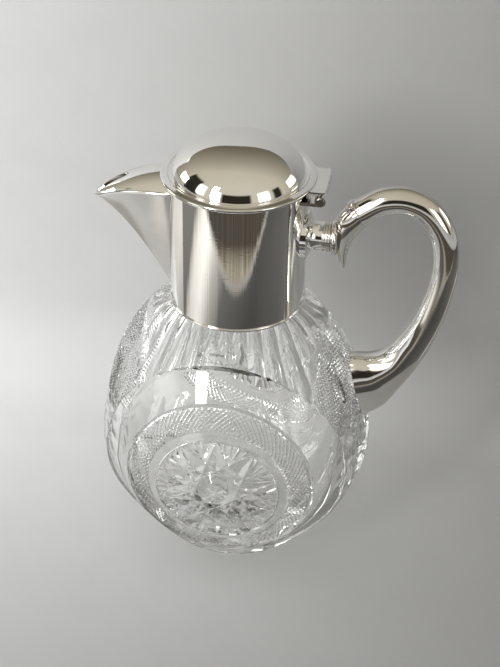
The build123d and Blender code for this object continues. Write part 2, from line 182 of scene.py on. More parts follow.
def mix_colours(tree, factor, first, second):
    """The first colour where factor is 0, the second where it is 1."""
    return put(tree, "Mix", {"Factor": factor, "A": first, "B": second}, data_type="RGBA")["Result"]


def ranged(tree, value, start, end, to_start=0.0, to_end=1.0):
    """Maps a value from start..end to to_start..to_end, held at the ends."""
    limits = {"From Min": start, "From Max": end, "To Min": to_start, "To Max": to_end}
    return put(tree, "MapRange", {"Value": value, **limits})["Result"]


def object_place(tree):
    """The place of a point in its piece's own frame."""
    return put(tree, "TexCoord")["Object"]


def size_of(tree, vector):
    """The length of a vector."""
    return put(tree, "VectorMath", {0: vector}, operation="LENGTH")["Value"]


def noise(tree, place, scale, detail=4.0, stretch=None):
    """Noise on a place; stretch scales the three directions first."""
    if stretch is not None:
        place = put(tree, "Mapping", {"Scale": stretch, "Vector": place})["Vector"]
    return put(tree, "TexNoise", {"Scale": scale, "Detail": detail, "Vector": place})["Fac"]


def bumped(tree, height, distance, strength):
    """The normal tilted by a height."""
    return put(tree, "Bump", {"Distance": distance, "Strength": strength, "Height": height})["Normal"]


def shown_or_clear(tree, clear_share, shown, tint=(1, 1, 1, 1)):
    """Shows a shader where clear_share is 0, and lets light straight on, tinted, where it is 1."""
    clear = put(tree, "BsdfTransparent", {"Color": tint})[0]
    mixed = put(tree, "MixShader", {0: clear_share, 1: shown, 2: clear})[0]
    fill(tree, tree.nodes["Material Output"], {"Surface": mixed})


print("node helpers:", ", ".join(f.__name__ for f in (arithmetic, mix_colours, ranged, noise, bumped)))

# %% [markdown]
# The stage is a pale grey table with a sheet of paper just behind the jug. The
# sheet curves up from the table, so there is no hard corner, and its back is
# clear, so the jug can be looked at from every side. Painted light and shade
# make it lighter on the left and darker on the right and in front, and far
# away it fades to pale grey.

# %% Stage
# The left tone is painted light; the right and front tones are painted shade.
paper_lit_left, paper_shaded_right, paper_shaded_front = (0.74, 0.74, 0.735, 1), (0.27, 0.265, 0.25, 1), (0.17, 0.17, 0.165, 1)
paper_speck, paper_far = (0.2, 0.2, 0.2, 1), (0.66, 0.66, 0.65, 1)
painted_light_across, painted_shade_front, front_shade_share, far_fade = (-0.20, 0.22), (0.04, -0.18), 0.62, (0.32, 0.8)


def paper_material():
    """Paper: painted light on the left, painted shade on the right and in front, then the far tone, faintly
    mottled, and clear from its back.
    """
    material, tree, shader = new_material("stage_paper")
    place = object_place(tree)
    x, y = put(tree, "SeparateXYZ", {0: place})[:2]
    # Painted light and shade: lighter to the left, darker to the right and in front.
    tone = mix_colours(tree, ranged(tree, x, *painted_light_across), paper_lit_left, paper_shaded_right)
    tone = mix_colours(tree, ranged(tree, y, *painted_shade_front, 0.0, front_shade_share), tone, paper_shaded_front)
    mottle = ranged(tree, noise(tree, place, 40.0, 6.0), 0.3, 0.7, 0.0, 0.05)
    tone = mix_colours(tree, mottle, tone, paper_speck)
    tone = mix_colours(tree, ranged(tree, size_of(tree, place), *far_fade), tone, paper_far)
    fill(tree, shader, {"Base Color": tone, "Roughness": 0.85})
    shown_or_clear(tree, put(tree, "NewGeometry")["Backfacing"], shader.outputs[0])
    return material


def stage_sheet(name, across, along):
    """A sheet: each point of the line `along` (y, z) is carried straight from -across to +across in x."""
    x, line = np.linspace(-across, across, 9), np.asarray(along)
    points = points_of(x, line[:, :1], line[:, 1:])
    sheet = mesh_piece(name, points, grid_faces(len(line), len(x), False))
    return sheet


floor_level, paper_lift = -0.0001, 0.00005
cove_front, cove_radius, paper_top, paper_foot = 0.062, 0.05, 0.312, 0.004
bend = np.linspace(0, math.pi / 2, 25)
cove = np.stack([cove_front + cove_radius * np.sin(bend), cove_radius * (1 - np.cos(bend))], 1)
paper_low = (cove_front - paper_foot, floor_level + paper_lift)
paper_high = (cove_front + cove_radius, paper_top)
table = stage_sheet("table_top", 3.0, [(-3.0, floor_level), (3.0, floor_level)])
backdrop = stage_sheet("backdrop", 0.22, [paper_low, *cove.tolist(), paper_high])
stage_paper = paper_material()
for sheet in (table, backdrop):
    sheet.data.materials.append(stage_paper)
print("stage sheets:", table.name, backdrop.name)

# %% [markdown]
# Polished silver shows the room and not itself, so the lamps are few: a narrow
# tall window in front at the left, a small one far out at the left, and a wide
# soft one overhead that silver doesn't mirror. With the pale world they add up
# to about the level at which a grey card renders as it is written.

# %% Light
jug_middle = (0.0, 0.0, 0.11)


def soft_window(name, place, width, height, power, tint):
    """An area lamp that stands at `place` and faces the middle of the jug."""
    lamp = bpy.data.lights.new(name, "AREA")
    lamp.shape = "RECTANGLE"
    lamp.size, lamp.size_y = width, height
    lamp.energy = power
    lamp.color = tint
    window = bpy.data.objects.new(name, lamp)
    window.matrix_world = looking(place, jug_middle)
    bpy.context.scene.collection.objects.link(window)
    return window


soft_window("tall_window", (-0.50, -0.80, 0.62), 0.16, 0.60, 5.6, (1.0, 1.0, 0.99))
soft_window("side_window", (-1.0, 0.10, 0.42), 0.30, 0.30, 1.6, (0.96, 1.0, 0.95))
sky_light = soft_window("sky_light", (-0.2, -0.3, 1.4), 1.2, 1.2, 5.5, (1.0, 1.0, 1.0))
sky_light.visible_glossy = False

# %% [markdown]
# What a mirror shows decides how it looks, so a room is painted by direction
# for the first reflection alone: dim behind, cream overhead, windows, curtains
# between them, and a dark figure in front. Everything else gets a plain room,
# bright on the left and shaded on the right, which makes the cut glass sparkle;
# soft light on the paper takes less than half of it.

# %% Room
room_back, room_top, room_front = (0.15, 0.135, 0.10, 1), (0.55, 0.51, 0.41, 1), (0.62, 0.58, 0.48, 1)
curtain, window_white = (0.025, 0.022, 0.016, 1), (3.0, 3.0, 2.9, 1)
room_pale, room_shaded, soft_share = (1.55, 1.56, 1.57, 1), (0.62, 0.62, 0.62, 1), 0.44
# Each patch: the middle and the half width in degrees, the lowest and highest rise, and the colour.
patches = [(-170.0, 18.0, -0.6, 0.62, curtain), (140.0, 7.0, 0.12, 0.42, window_white),
           (-146.0, 7.0, 0.05, 0.5, window_white), (-118.0, 7.0, -0.5, 0.45, window_white),
           (-84.0, 24.0, -0.7, 0.40, curtain), (-38.0, 9.0, -0.5, 0.42, window_white),
           (-14.0, 7.0, -0.6, 0.4, curtain), (20.0, 9.0, 0.05, 0.35, window_white)]
patch_edge = 0.04

world = bpy.data.worlds.new("room")
bpy.context.scene.world = world
world.use_nodes = True
sky = world.node_tree
sky.nodes.clear()
east, north, rise = put(sky, "SeparateXYZ", {0: put(sky, "TexCoord")["Generated"]})
azimuth = arithmetic(sky, "ARCTAN2", north, east)


def wall_patch(middle, half, low, high):
    """1 inside a patch of the walls: `half` degrees to each side of an azimuth, from low to high in rise."""
    away = arithmetic(sky, "ABSOLUTE", arithmetic(sky, "SUBTRACT", azimuth, math.radians(middle)), 0.0)
    inside = ranged(sky, away, math.radians(half) + patch_edge, math.radians(half) - patch_edge)
    above = ranged(sky, rise, low - patch_edge, low + patch_edge)
    below = ranged(sky, rise, high + patch_edge, high - patch_edge)
    return arithmetic(sky, "MULTIPLY", arithmetic(sky, "MULTIPLY", inside, above), below)


def first_mirror(tree):
    """1 for a ray that left a mirror without having gone through glass before."""
    path = put(tree, "LightPath")
    outside = arithmetic(tree, "LESS_THAN", path["Transmission Depth"], 0.5)
    return arithmetic(tree, "MULTIPLY", path["Is Glossy Ray"], outside)


tone = mix_colours(sky, ranged(sky, north, 0.75, 0.0), room_back, room_top)
tone = mix_colours(sky, ranged(sky, north, 0.0, -0.6), tone, room_front)
for middle, half, low, high, colour in patches:
    tone = mix_colours(sky, wall_patch(middle, half, low, high), tone, colour)
seen_in_silver = put(sky, "Background", {"Color": tone})[0]
across_room = mix_colours(sky, ranged(sky, east, -0.7, 0.7), room_pale, room_shaded)
less = arithmetic(sky, "MULTIPLY", put(sky, "LightPath")["Is Diffuse Ray"], soft_share - 1.0)
plain_room = put(sky, "Background", {"Color": across_room, "Strength": arithmetic(sky, "ADD", less, 1.0)})[0]
put(sky, "OutputWorld",
    {"Surface": put(sky, "MixShader", {0: first_mirror(sky), 1: plain_room, 2: seen_in_silver})[0]})
bpy.context.scene.view_settings.view_transform = "Standard"
print("patches on the walls:", len(patches))

# %% [markdown]
# Silver seen from above mirrors the table all round it. A photographer lays
# cards there, just outside the picture: here a flat ring of cards that only
# reflections can see, white at the left, dark cloth in front and at the right,
# with a streaky tongue of cloth in the middle that gives the collar its deep V.

# %% Cards round the jug
card_tones = [(30, 0.25), (14, 0.20), (10, 0.70), (6, 0.14), (345, 0.10), (300, 0.065), (270, 0.10),
              (250, 0.13), (241, 0.28), (231, 0.42), (222, 0.70), (213, 0.90), (197, 0.72), (190, 0.45),
              (185, 0.15), (181, 0.16), (177, 0.45), (160, 0.6)]
card_slant, card_near, card_far = 0.50, 0.24, 0.33
card_warmth = (1.0, 0.97, 0.91)
tongue_turn, tongue_spread = 0.269, 5.5
tongue_edge, tongue_full = (0.268, 0.278), (0.280, 0.294)
edge_tone, cloth_dark, cloth_light = (0.38, 0.36, 0.32, 1), (0.13, 0.115, 0.085, 1), (0.46, 0.42, 0.33, 1)
cloth_black, outer_dark = (0.035, 0.03, 0.025, 1), (0.05, 0.045, 0.04, 1)


def card_material():
    """Tones by the angle round the jug, slanted outwards; the tongue is a parabola in angle and reach."""
    material, tree, shader = new_material("table_cards")
    tree.nodes.remove(shader)
    place = object_place(tree)
    reach = size_of(tree, place)
    gradient = put(tree, "TexGradient", {"Vector": place}, gradient_type="RADIAL")
    turn = gradient["Fac"]
    wobble, streaks = noise(tree, gradient["Color"], 90.0, 5.0), noise(tree, gradient["Color"], 240.0, 6.0)
    slant = arithmetic(tree, "MULTIPLY", arithmetic(tree, "SUBTRACT", reach, card_near), card_slant)
    slanted = arithmetic(tree, "SUBTRACT", turn, slant)
    slanted = arithmetic(tree, "ADD", slanted, ranged(tree, wobble, 0.3, 0.7, -0.012, 0.012))
    ramp = tree.nodes.new("ShaderNodeValToRGB")
    stops = sorted((((angle + 180) % 360) / 360, tone) for angle, tone in card_tones)
    elements = ramp.color_ramp.elements
    for number, (position, tone) in enumerate(stops):
        element = elements[number] if number < 2 else elements.new(position)
        element.position = position
        element.color = (*(tone * share for share in card_warmth), 1)
    tree.links.new(slanted, ramp.inputs["Fac"])
    away = arithmetic(tree, "SUBTRACT", turn, tongue_turn)
    away = arithmetic(tree, "MULTIPLY", arithmetic(tree, "MULTIPLY", away, away), tongue_spread)
    tongue = arithmetic(tree, "SUBTRACT", reach, away)
    tongue = arithmetic(tree, "ADD", tongue, ranged(tree, wobble, 0.3, 0.7, -0.006, 0.006))
    cloth = mix_colours(tree, ranged(tree, streaks, 0.42, 0.60), cloth_dark, cloth_light)
    cloth = mix_colours(tree, ranged(tree, reach, 0.30, 0.335, 0.0, 0.9), cloth, cloth_black)
    tones = mix_colours(tree, ranged(tree, tongue, *tongue_edge, 0.0, 0.75), ramp.outputs["Color"], edge_tone)
    tones = mix_colours(tree, ranged(tree, tongue, *tongue_full), tones, cloth)
    tones = mix_colours(tree, ranged(tree, reach, 0.42, 0.6), tones, outer_dark)
    strength = ranged(tree, reach, card_near, card_far, 1.05, 1.45)
    glow = put(tree, "Emission", {"Color": tones, "Strength": strength})[0]
    shown_or_clear(tree, arithmetic(tree, "SUBTRACT", 1.0, first_mirror(tree)), glow)
    return material


card_radii, card_height = np.array([0.17, 0.25, 0.33, 0.45, 0.62]), 0.0006
card_points = upright(card_radii[:, None], full_circle(48), card_height)
cards = mesh_piece("table_cards", card_points, grid_faces(*card_points.shape[:2], True))
cards.data.materials.append(card_material())
cards.visible_camera = cards.visible_diffuse = cards.visible_transmission = False
cards.visible_shadow = cards.visible_volume_scatter = False
print("tones on the cards:", len(card_tones))

# %% [markdown]
# The globe is blown lead crystal, about 7 mm thick, and every line on it is a
# cut made on a wheel. Its outline is two curves, one seen from the side and one
# seen from the spout, and each level section is an oval a little squarer than
# an ellipse. All cutting below is measured inwards from this uncut blank.

# %% Blank of the globe
mm = 0.001
foot_radius, belly_height, belly_half_width, belly_half_depth = 24.0, 64.0, 65.6, 57.0
shoulder_height, shoulder_radius = 142.5, 31.4
neck_radius, bore_radius, neck_top = 28.4, 22.0, 176.0
glass_wall, glass_floor = 7.0, 10.0


def outline(height, foot, belly, top, low, high, powers):
    """Half-width: up to the belly 1-(1-t)^p to a power q, from the belly up 1-t^p to a power q."""
    foot_power, foot_fullness, top_power, top_fullness = powers
    below = np.clip((height - low) / (belly_height - low), 0, 1)
    above = np.clip((height - belly_height) / (high - belly_height), 0, 1)
    lower = foot + (belly - foot) * (1 - (1 - below) ** foot_power) ** foot_fullness
    upper = top + (belly - top) * (1 - above ** top_power) ** top_fullness
    return np.where(height < belly_height, lower, upper)


def globe_reach(angle, height, inset=0.0, low=0.0, high=shoulder_height, foot=foot_radius,
                top=shoulder_radius):
    """Distance from the axis to the glass: a superellipse of power 2, rising to 2.55 at the belly."""
    width = outline(height, foot, belly_half_width - inset, top, low, high, (2.0, 0.88, 2.26, 0.77))
    depth = outline(height, foot, belly_half_depth - inset, top, low, high, (2.0, 0.56, 2.9, 2.78))
    fall = np.where(height < belly_height, 51.0, 18.0)
    power = 2 + 0.55 * np.exp(-(((height - belly_height) / fall) ** 2))
    across, deep = np.abs(np.cos(angle)) / width, np.abs(np.sin(angle)) / depth
    return (across ** power + deep ** power) ** (-1 / power)


def checker_faces(rows, columns):
    """Triangles of a grid closed round on itself; diagonals alternate, so points of one parity stay peaks."""
    a, b, c, d = grid_corners(rows, columns, True)
    odd = (np.add.outer(np.arange(rows - 1), np.arange(columns)) % 2 == 1)[..., None]
    first = np.where(odd, np.stack([a, b, d], -1), np.stack([a, b, c], -1))
    second = np.where(odd, np.stack([b, c, d], -1), np.stack([a, c, d], -1))
    return np.concatenate([first.reshape(-1, 3), second.reshape(-1, 3)])


def closed_piece(name, points, faces):
    """A piece from millimetres; its faces are turned over if the volume inside comes out negative."""
    volume = 0
    for corner in range(1, faces.shape[1] - 1):
        a, b, c = (points[faces[:, number]] for number in (0, corner, corner + 1))
        volume += np.einsum("ij,ij->i", a, np.cross(b, c)).sum()
    if volume < 0:
        faces = np.concatenate([faces[:, :1], faces[:, :0:-1]], axis=1)
    return mesh_piece(name, points * mm, faces)


def closed_skin(name, rows, first_pole, last_pole):
    """A closed skin: rows of points round an axis, with each end fanned to one point."""
    count, columns = rows.shape[:2]
    points = np.concatenate([rows.reshape(-1, 3), [first_pole, last_pole]])
    start, end = np.arange(columns), (count - 1) * columns + np.arange(columns)
    first_fan = np.stack([np.roll(start, -1), start, np.full(columns, count * columns)], -1)
    last_fan = np.stack([end, np.roll(end, -1), np.full(columns, count * columns + 1)], -1)
    return closed_piece(name, points, np.concatenate([checker_faces(count, columns), first_fan, last_fan]))


print("half the belly's width:", float(globe_reach(0.0, belly_height)))

# %% [markdown]
# Round the shoulder run hollow flutes with sharp ridges between them, which
# fade out over the medallions, so that the star at the back shows through.
# Under the spout and under the handle two arched panels are crossed with fine
# V cuts, which leaves rows of little pyramids; each panel is what stands out
# past an upright plane, edged by a plain rib. The grid has its columns on the
# ridges and the cuts, so that they come out sharp instead of stepped.

# %% Flutes and hatched panels
flute_width = math.radians(12.0)
panel_half_angle = 3.5 * flute_width
panel_columns, face_columns = 84, 64
panel_reach, rib_width = 42.0, 1.1
hatch_low, hatch_high, hatch_pitch = 88.0, 133.0, 1.0
flute_depth, hatch_depth, leaf_depth = 1.5, 1.0, 1.1
flute_start, flute_full, faint_share = 88.0, 108.0, 0.12
leaf_low, leaf_spokes, leaf_inside, leaf_outside = 38.0, 16, (17.0, 21.0), (24.0, 33.0)
flute_gap, face_turn, fluted_again, hair = (0.5, 3.0), (0.2, 0.5), (128.0, 140.0), 0.01

panel = np.linspace(-panel_half_angle, panel_half_angle, panel_columns, endpoint=False)
fluted = np.linspace(panel_half_angle, math.pi - panel_half_angle, face_columns, endpoint=False)
glass_angles = np.concatenate([panel, fluted, panel + math.pi, fluted + math.pi])


def meridian_heights(low, high, spacing):
    """Heights whose places on the side meridian are evenly spaced along the glass."""
    fine = np.linspace(low, high, 800)
    run = np.hypot(np.diff(fine), np.diff(globe_reach(0.0, fine)))
    length = np.concatenate([[0], np.cumsum(run)])
    steps = 2 * int(round(length[-1] / spacing / 2))
    return np.interp(np.linspace(0, length[-1], steps + 1), length, fine)


low_rows = meridian_heights(0.0, leaf_low, 3.4)
leaf_rows = meridian_heights(leaf_low, hatch_low, 1.5)
hatch_rows = meridian_heights(hatch_low, hatch_high, hatch_pitch)
top_rows = np.array([134.5, 136.0, 137.5, 139.0, 140.6, 141.7, 142.5])
wall_heights = np.concatenate([low_rows[:-1], leaf_rows[:-1], hatch_rows, top_rows])
print("levels of the glass wall:", len(wall_heights), "columns:", len(glass_angles))


def smooth_step(value, start, end):
    """0 before start, 1 after end, and an S curve between them."""
    t = np.clip((value - start) / (end - start), 0, 1)
    return t * t * (3 - 2 * t)


def spoke_wave(angle, count):
    """A saw wave round the circle: `count` times from 0 up to 1 and back."""
    return 1 - np.abs(np.mod(angle / (2 * math.pi) * count, 1) - 0.5) * 2


def cutting_depth(angle, height):
    """How deep the wheel went: flutes are parabolas, panels grids of valleys, leaves V cuts."""
    turn = np.mod(angle + math.pi / 2, math.pi) - math.pi / 2
    reach = globe_reach(angle, height)
    out = np.abs(reach * np.cos(angle))
    across = np.mod(angle / flute_width + 1e-9, 1)
    flute = flute_depth * (1 - (2 * across - 1) ** 2)
    flute = flute * smooth_step(height, flute_start, flute_full)
    flute = flute * smooth_step(-out, -panel_reach + flute_gap[0], -panel_reach + flute_gap[1])
    cut_share = smooth_step(np.abs(np.cos(angle)), *face_turn) + smooth_step(height, *fluted_again)
    flute = flute * np.maximum(np.minimum(cut_share, 1), faint_share)
    column = np.rint((turn + panel_half_angle) / (2 * panel_half_angle) * panel_columns)
    row = np.rint(np.interp(height, hatch_rows, np.arange(len(hatch_rows))))
    peak = (column % 2 == 1) & (row % 2 == 1)
    hatched = (out > panel_reach + rib_width) & (np.abs(turn) < panel_half_angle - hair)
    hatched = hatched & (height > hatch_low - hair) & (height < hatch_high - hatch_pitch / 2)
    hatch = np.where(hatched & ~peak, hatch_depth, 0)
    side = reach * np.sin(turn)
    from_middle = np.hypot(side, height - belly_height)
    leaf = leaf_depth * spoke_wave(np.arctan2(height - belly_height, side), leaf_spokes)
    leaf = leaf * smooth_step(from_middle, *leaf_inside) * (1 - smooth_step(from_middle, *leaf_outside))
    leaf = np.where(np.abs(turn) < panel_half_angle, leaf, 0) * (height < hatch_low - hatch_pitch / 2)
    return flute + hatch + leaf


def glass_skin():
    """Rows from the middle of the foot, up the outside, over the neck, down the bore and round the cavity."""
    angle, height = np.meshgrid(glass_angles, wall_heights)
    blank = upright(globe_reach(angle, height), angle, height)
    along_z = np.gradient(blank, axis=0)
    around = (np.roll(blank, -1, 1) - np.roll(blank, 1, 1))
    normal = np.cross(around, along_z)
    normal /= np.linalg.norm(normal, axis=2, keepdims=True)
    wall = blank - normal * cutting_depth(angle, height)[..., None]
    wall[0] = blank[0]

    def level(radius, z):
        return upright(radius, glass_angles, z)[None]

    ray = spoke_wave(glass_angles, leaf_spokes)
    base = [level(r, foot_star_depth * (1 - r / foot_star_radius) * ray) for r in (3.0, 9.0, 15.0, 20.0)]
    neck = [level(neck_radius, shoulder_height), level(neck_radius, neck_top), level(bore_radius, neck_top)]
    cavity_high = shoulder_height - glass_wall / 2
    cavity_levels = cavity_high + (glass_floor - cavity_high) * cavity_shares
    cavity_angle, cavity_height = np.meshgrid(glass_angles, cavity_levels)
    inner = globe_reach(cavity_angle, cavity_height, glass_wall, glass_floor, cavity_high,
                        foot_radius - glass_wall, bore_radius + 0.3)
    cavity = upright(inner, cavity_angle, cavity_height)
    rows = np.concatenate([*base, wall, *neck, cavity, level(6.0, glass_floor)])
    return closed_skin("cut_glass_body", rows, (0, 0, foot_star_depth), (0, 0, glass_floor))


foot_star_radius, foot_star_depth = 23.5, 1.6
cavity_shares = np.array([0, 0.01, 0.04, 0.09, 0.16, 0.25, 0.36, 0.48,
                          0.6, 0.7, 0.78, 0.85, 0.91, 0.96, 0.99, 1.0])
glass = glass_skin()
print("triangles before the medallions:", len(glass.data.polygons))

# %% [markdown]
# Each broad face carries a medallion. The wheel first dished the face into
# rings: a crowned disc, a ring groove, a plain ring, a ring of fine diamonds,
# a second groove and a smooth bevel out to the globe. It is turned round the Y
# axis here as a closed tool, and the tool is taken away from the blank.

# %% Medallion tool
crown, disc_radius, disc_depth = 55.0, 29.4, 52.0
band_inner, band_radius, band_depth = 33.6, 45.1, 44.2
rim_radius, rim_depth, rim_step = 58.0, 32.8, 2.2
groove_half, groove_depth = 0.7, 1.0
lattice_columns, lattice_rows, lattice_depth = 192, 10, 1.15
tool_end = 64.0


def face_depth(x, z):
    """How far the uncut glass stands out along Y at a place on the face, found by halving."""
    low, high = np.zeros_like(x), np.full_like(x, 70.0)
    for _ in range(40):
        middle = (low + high) / 2
        inside = np.hypot(x, middle) < globe_reach(np.arctan2(middle, x), z)
        low, high = np.where(inside, middle, low), np.where(inside, high, middle)
    return low


def on_face(axis, side, across, up, out):
    """Points on a face that looks along an axis (side 1) or against it (-1), out from the jug's middle."""
    flat = (-side * across, side * out) if axis == "Y" else (side * out, side * across)
    return points_of(*flat, belly_height + up)


def face_ring(axis, side, radius, around, out):
    """A ring on such a face, round the belly's middle."""
    return on_face(axis, side, radius * np.cos(around), radius * np.sin(around), out)


def crown_depth(radius, top, edge, rim):
    """A crowned disc: a parabola from the top in the middle down to the edge at the rim."""
    return top - (top - edge) * (radius / rim) ** 2


def medallion_tool(side):
    """The tool's inner face follows the rings of the dish, its outer end is well outside the glass."""
    around = full_circle(lattice_columns)
    rim = face_depth(-side * rim_radius * np.cos(around), belly_height + rim_radius * np.sin(around))
    rim = np.minimum(rim - rim_step, rim_depth)
    slope = (disc_depth - band_depth) / (band_radius - disc_radius)
    rings = [(r, crown_depth(r, crown, disc_depth, disc_radius))
             for r in (6.0, 12.0, 18.0, 23.0, 26.5, disc_radius - groove_half)]
    rings.append((disc_radius, disc_depth - groove_depth))
    rings.append((disc_radius + groove_half, disc_depth - groove_half * slope))
    for step in range(lattice_rows + 1):
        r = band_inner + (band_radius - groove_half - band_inner) * step / lattice_rows
        valley = (np.arange(lattice_columns) + len(rings)) % 2 == 0
        cut = lattice_depth * valley if 0 < step < lattice_rows else 0
        rings.append((r, disc_depth - (r - disc_radius) * slope - cut))
    rings.append((band_radius, band_depth - groove_depth))
    bevel_start, past_rim = band_radius + groove_half, rim_radius + 2 * groove_half
    for share in (0, 0.2, 0.4, 0.6, 0.8, 1.0):
        r = bevel_start + (rim_radius - bevel_start) * share
        rings.append((r, band_depth + (rim - band_depth) * share))
    rings += [(rim_radius + groove_half, rim - 0.7), (past_rim, rim - 0.1), (past_rim, tool_end)]
    rows = np.stack([face_ring("Y", side, r, around, depth) for r, depth in rings])
    poles = [(0, side * depth, belly_height) for depth in (crown, tool_end)]
    return closed_skin("medallion_tool", rows, *poles)


print("rows of diamonds:", lattice_rows, "in a band", round(band_radius - band_inner, 1), "mm wide")

# %% [markdown]
# The star inside the disc has ten points. Ten deep mitre cuts run from each
# point to the fourth one on, and between them stand long kites. From each
# crossing a fan of fine cuts opens to the ring. Every cut is a V groove that
# follows the crown of the disc, so each is made as a thin wedge on a path.

# %% Star tools
star_points, star_stride, star_reach = 10, 4, 30.5
mitre_depth, mitre_spread, fine_spread = 2.6, 1.5, 0.9
fan_rays, fan_spread, fan_depth = 4, math.radians(24.0), 1.0
button_rays, button_reach, button_spread = 5, 6.8, 1.1
wedge_lift = 0.8


def wedge(start, end, depth_at, spread, surface):
    """A V groove between two places, each a radius and an angle; its root lies depth_at below the face."""
    start, end = (radius * np.array([math.cos(angle), math.sin(angle)]) for radius, angle in (start, end))
    share = np.linspace(0, 1, 15)
    place = np.outer(1 - share, start) + np.outer(share, end)
    run = (end - start) / np.linalg.norm(end - start)
    across = np.array([-run[1], run[0]])
    depth = depth_at(share)
    half = (depth + wedge_lift) * spread
    corners = []
    for offset, rise in ((0 * half, -depth), (half, wedge_lift), (-half, wedge_lift)):
        corners.append(surface(place + offset[:, None] * across, rise))
    rows = np.stack(corners, 1)
    return closed_skin("wedge", rows, rows[0].mean(0), rows[-1].mean(0))


def boat(ends, deep, power):
    """The depth of a cut that is shallow at both ends and deep in the middle."""
    return lambda share: ends + deep * (1 - np.abs(2 * share - 1) ** power)


def crowned(axis, side, top, edge, rim):
    """Maps places on a crowned face, and a height over its crown, to points on one side of the jug."""
    def surface(place, rise):
        across, up = place.T
        return on_face(axis, side, across, up, crown_depth(np.hypot(across, up), top, edge, rim) + rise)
    return surface


def star_cuts(surface, points, stride, reach, groove, spread, ray_start, ray_end, ray_turns, ray_depth):
    """Mitres from each point to the one `stride` on, and a fan of rays between two points."""
    tools, step = [], 2 * math.pi / points
    for point in range(points):
        tip = math.pi / 2 + point * step
        middle = tip + step / 2
        tools.append(wedge((reach, tip), (reach, tip + stride * step), groove, spread, surface))
        for turn in ray_turns:
            tools.append(wedge((ray_start, middle), (ray_end, middle + turn),
                               lambda share: 0.1 + ray_depth * share, fine_spread, surface))
    return tools


def star_tools(side):
    """The mitres, fans and small centre star of one medallion."""
    surface = crowned("Y", side, crown, disc_depth, disc_radius)
    chord_offset = star_reach * math.cos(star_stride * math.pi / star_points)
    crossing = chord_offset / math.cos(3 * math.pi / star_points)
    turns = [fan_spread * (ray / (fan_rays - 1) - 0.5) for ray in range(fan_rays)]
    tools = star_cuts(surface, star_points, star_stride, star_reach, boat(0.15, mitre_depth, 3.0),
                      mitre_spread, crossing + 1.0, disc_radius - 0.4, turns, fan_depth)
    for ray in range(button_rays):
        turn = math.pi * ray / button_rays
        tools.append(wedge((button_reach, turn), (-button_reach, turn), boat(0.05, 0.75, 1.5),
                           button_spread, surface))
    return tools


print("cuts in one star:", star_points * (1 + fan_rays) + button_rays)

# %% [markdown]
# A cut is a boolean: the tools lie in a collection, and the modifier takes
# them all away at once. Its mesh is then kept and the tools are thrown away.

# %% Cut the glass
def cut_away(piece, tools, operation):
    """One boolean with a collection of closed tools, applied at once."""
    bench = bpy.data.collections.new("tools")
    for tool in tools:
        bpy.context.scene.collection.objects.unlink(tool)
        bench.objects.link(tool)
    bpy.context.scene.collection.children.link(bench)
    cut = piece.modifiers.new("cut", "BOOLEAN")
    cut.solver = "MANIFOLD"
    cut.operation = operation
    cut.operand_type = "COLLECTION"
    cut.collection = bench
    bpy.context.view_layer.update()
    done = bpy.data.meshes.new_from_object(piece.evaluated_get(bpy.context.evaluated_depsgraph_get()))
    piece.modifiers.clear()
    piece.data = done
    for tool in list(bench.objects):
        bpy.data.objects.remove(tool)
    bpy.data.collections.remove(bench)
    print(piece.name, operation.lower(), "leaves", len(done.polygons), "faces")


def crisp_edges(piece, degrees):
    """Smooth, but for the edges that are sharper than an angle."""
    piece.data.shade_smooth()
    piece.data.set_sharp_from_angle(angle=math.radians(degrees))


cutting_tools = []
for side in (-1, 1):
    cutting_tools.append(medallion_tool(side))
    cutting_tools.extend(star_tools(side))
cut_away(glass, cutting_tools, "DIFFERENCE")

# %% [markdown]
# Under each hatched panel sits a round boss with a hob star, and on the handle
# side a short oval lug of glass goes into the handle's socket. Bosses and lug
# are joined to the globe first, and the small stars are cut after that.

# %% Side roundels and the lug
roundel_radius, roundel_crown, roundel_edge = 19.0, belly_half_width + 2.0, belly_half_width - 2.0
hob_points, hob_stride, hob_reach, hob_spread = 8, 3, 18.6, 1.4
hob_ray_start, hob_ray_end, hob_ray_turns, hob_ray_depth = 13.0, 18.3, (-0.13, 0.0, 0.13), 0.5
lug_height, lug_end, lug_half_height, lug_half_width = 99.0, belly_half_width + 2.9, 8.5, 4.6
lug_root = belly_half_width - 2 * glass_wall


def roundel(side):
    """A lens: from its root inside the wall out to its edge, then over the crown."""
    around, root = full_circle(72), roundel_edge - glass_wall / 2
    rings = [(roundel_radius, root)]
    for share in (1.0, 0.93, 0.8, 0.6, 0.4, 0.2):
        rings.append((roundel_radius * share, crown_depth(share, roundel_crown, roundel_edge, 1.0)))
    rows = np.stack([face_ring("X", side, r, around, depth) for r, depth in rings])
    poles = [(side * depth, 0, belly_height) for depth in (root, roundel_crown)]
    return closed_skin("roundel", rows, *poles)


def hob_star(side):
    """A star of eight points on a roundel, with three fine rays between the points."""
    surface = crowned("X", side, roundel_crown, roundel_edge, roundel_radius)
    return star_cuts(surface, hob_points, hob_stride, hob_reach, boat(0.1, 1.3, 3.0), hob_spread,
                     hob_ray_start, hob_ray_end, hob_ray_turns, hob_ray_depth)


def lug(growth):
    """The oval stub of glass in the handle's socket, or the room round it."""
    around, tip = full_circle(48), lug_end + growth
    rows = points_of([[lug_root], [tip]], (lug_half_width + growth) * np.cos(around),
                     lug_height + (lug_half_height + growth) * np.sin(around))
    return closed_skin("lug", rows, (lug_root, 0, lug_height), (tip, 0, lug_height))


cut_away(glass, [roundel(-1), roundel(1), lug(0)], "UNION")
cut_away(glass, hob_star(-1) + hob_star(1), "DIFFERENCE")
crisp_edges(glass, 20)
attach(glass, "jug")
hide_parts("glass_body")

# %% [markdown]
# Silver pieces are spun or cast, and their edges are never knife-sharp. The
# solids have the right sizes, but their facets would show in a mirror, so the
# round ones are turned again as fine grids with softened corners.

